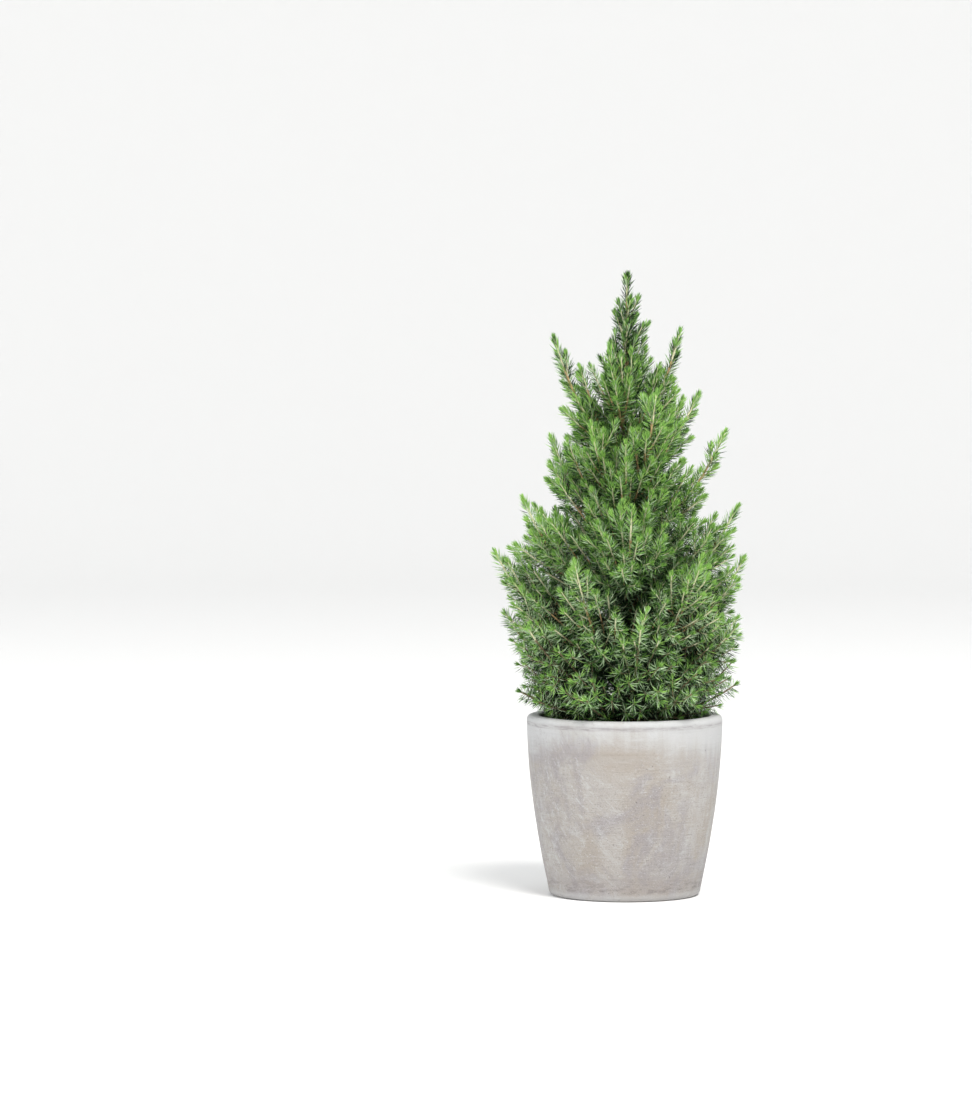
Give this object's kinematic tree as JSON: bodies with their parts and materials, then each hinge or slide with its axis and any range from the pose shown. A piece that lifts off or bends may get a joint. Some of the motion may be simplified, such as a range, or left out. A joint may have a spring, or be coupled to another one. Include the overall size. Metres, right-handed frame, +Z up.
{
  "type": "potted dwarf spruce",
  "caption": "Young dwarf conifer with a dense cone of short-needled shoots, growing upright in a round, washed clay pot that leans in to its foot.",
  "frame": {"origin": "centre of the pot's flat underside, on the surface that it stands on", "axes": "+Z up along the trunk, -Y towards the viewer of the picture, +X to that viewer's right"},
  "size_m": [0.3243, 0.3147, 0.752],
  "materials": {
    "clay": "matt, limewashed",
    "compost": "matt, crumbly",
    "bark": "rough bark",
    "young_bark": "thin, ridged bark",
    "needles": "satin needles"
  },
  "bodies": {
    "root": {"bough_low1": "young_bark", "bough_low2": "young_bark", "bough_low3": "young_bark", "bough_low4": "young_bark", "bough_low5": "young_bark", "bough_low6": "young_bark", "bough_middle1": "young_bark", "bough_middle2": "young_bark", "bough_middle3": "young_bark", "bough_middle4": "young_bark", "bough_middle5": "young_bark", "bough_middle6": "young_bark", "bough_shoulder1": "young_bark", "bough_shoulder2": "young_bark", "bough_shoulder3": "young_bark", "bough_shoulder4": "young_bark", "bough_skirt1": "young_bark", "bough_skirt2": "young_bark", "bough_skirt3": "young_bark", "bough_skirt4": "young_bark", "bough_skirt5": "young_bark", "bough_skirt6": "young_bark", "needles_backarm": "needles", "needles_backspire": "needles", "needles_backspray": "needles", "needles_frontarm": "needles", "needles_frontspire": "needles", "needles_frontspray": "needles", "needles_leader": "needles", "needles_leftarm": "needles", "needles_leftspire": "needles", "needles_low1": "needles", "needles_low2": "needles", "needles_low3": "needles", "needles_low4": "needles", "needles_low5": "needles", "needles_low6": "needles", "needles_middle1": "needles", "needles_middle2": "needles", "needles_middle3": "needles", "needles_middle4": "needles", "needles_middle5": "needles", "needles_middle6": "needles", "needles_rightarm": "needles", "needles_rightspire": "needles", "needles_rightspray": "needles", "needles_shoulder1": "needles", "needles_shoulder2": "needles", "needles_shoulder3": "needles", "needles_shoulder4": "needles", "needles_skirt1": "needles", "needles_skirt2": "needles", "needles_skirt3": "needles", "needles_skirt4": "needles", "needles_skirt5": "needles", "needles_skirt6": "needles", "pot": "clay", "soil": "compost", "trunk": "bark"}
  },
  "joints": []
}
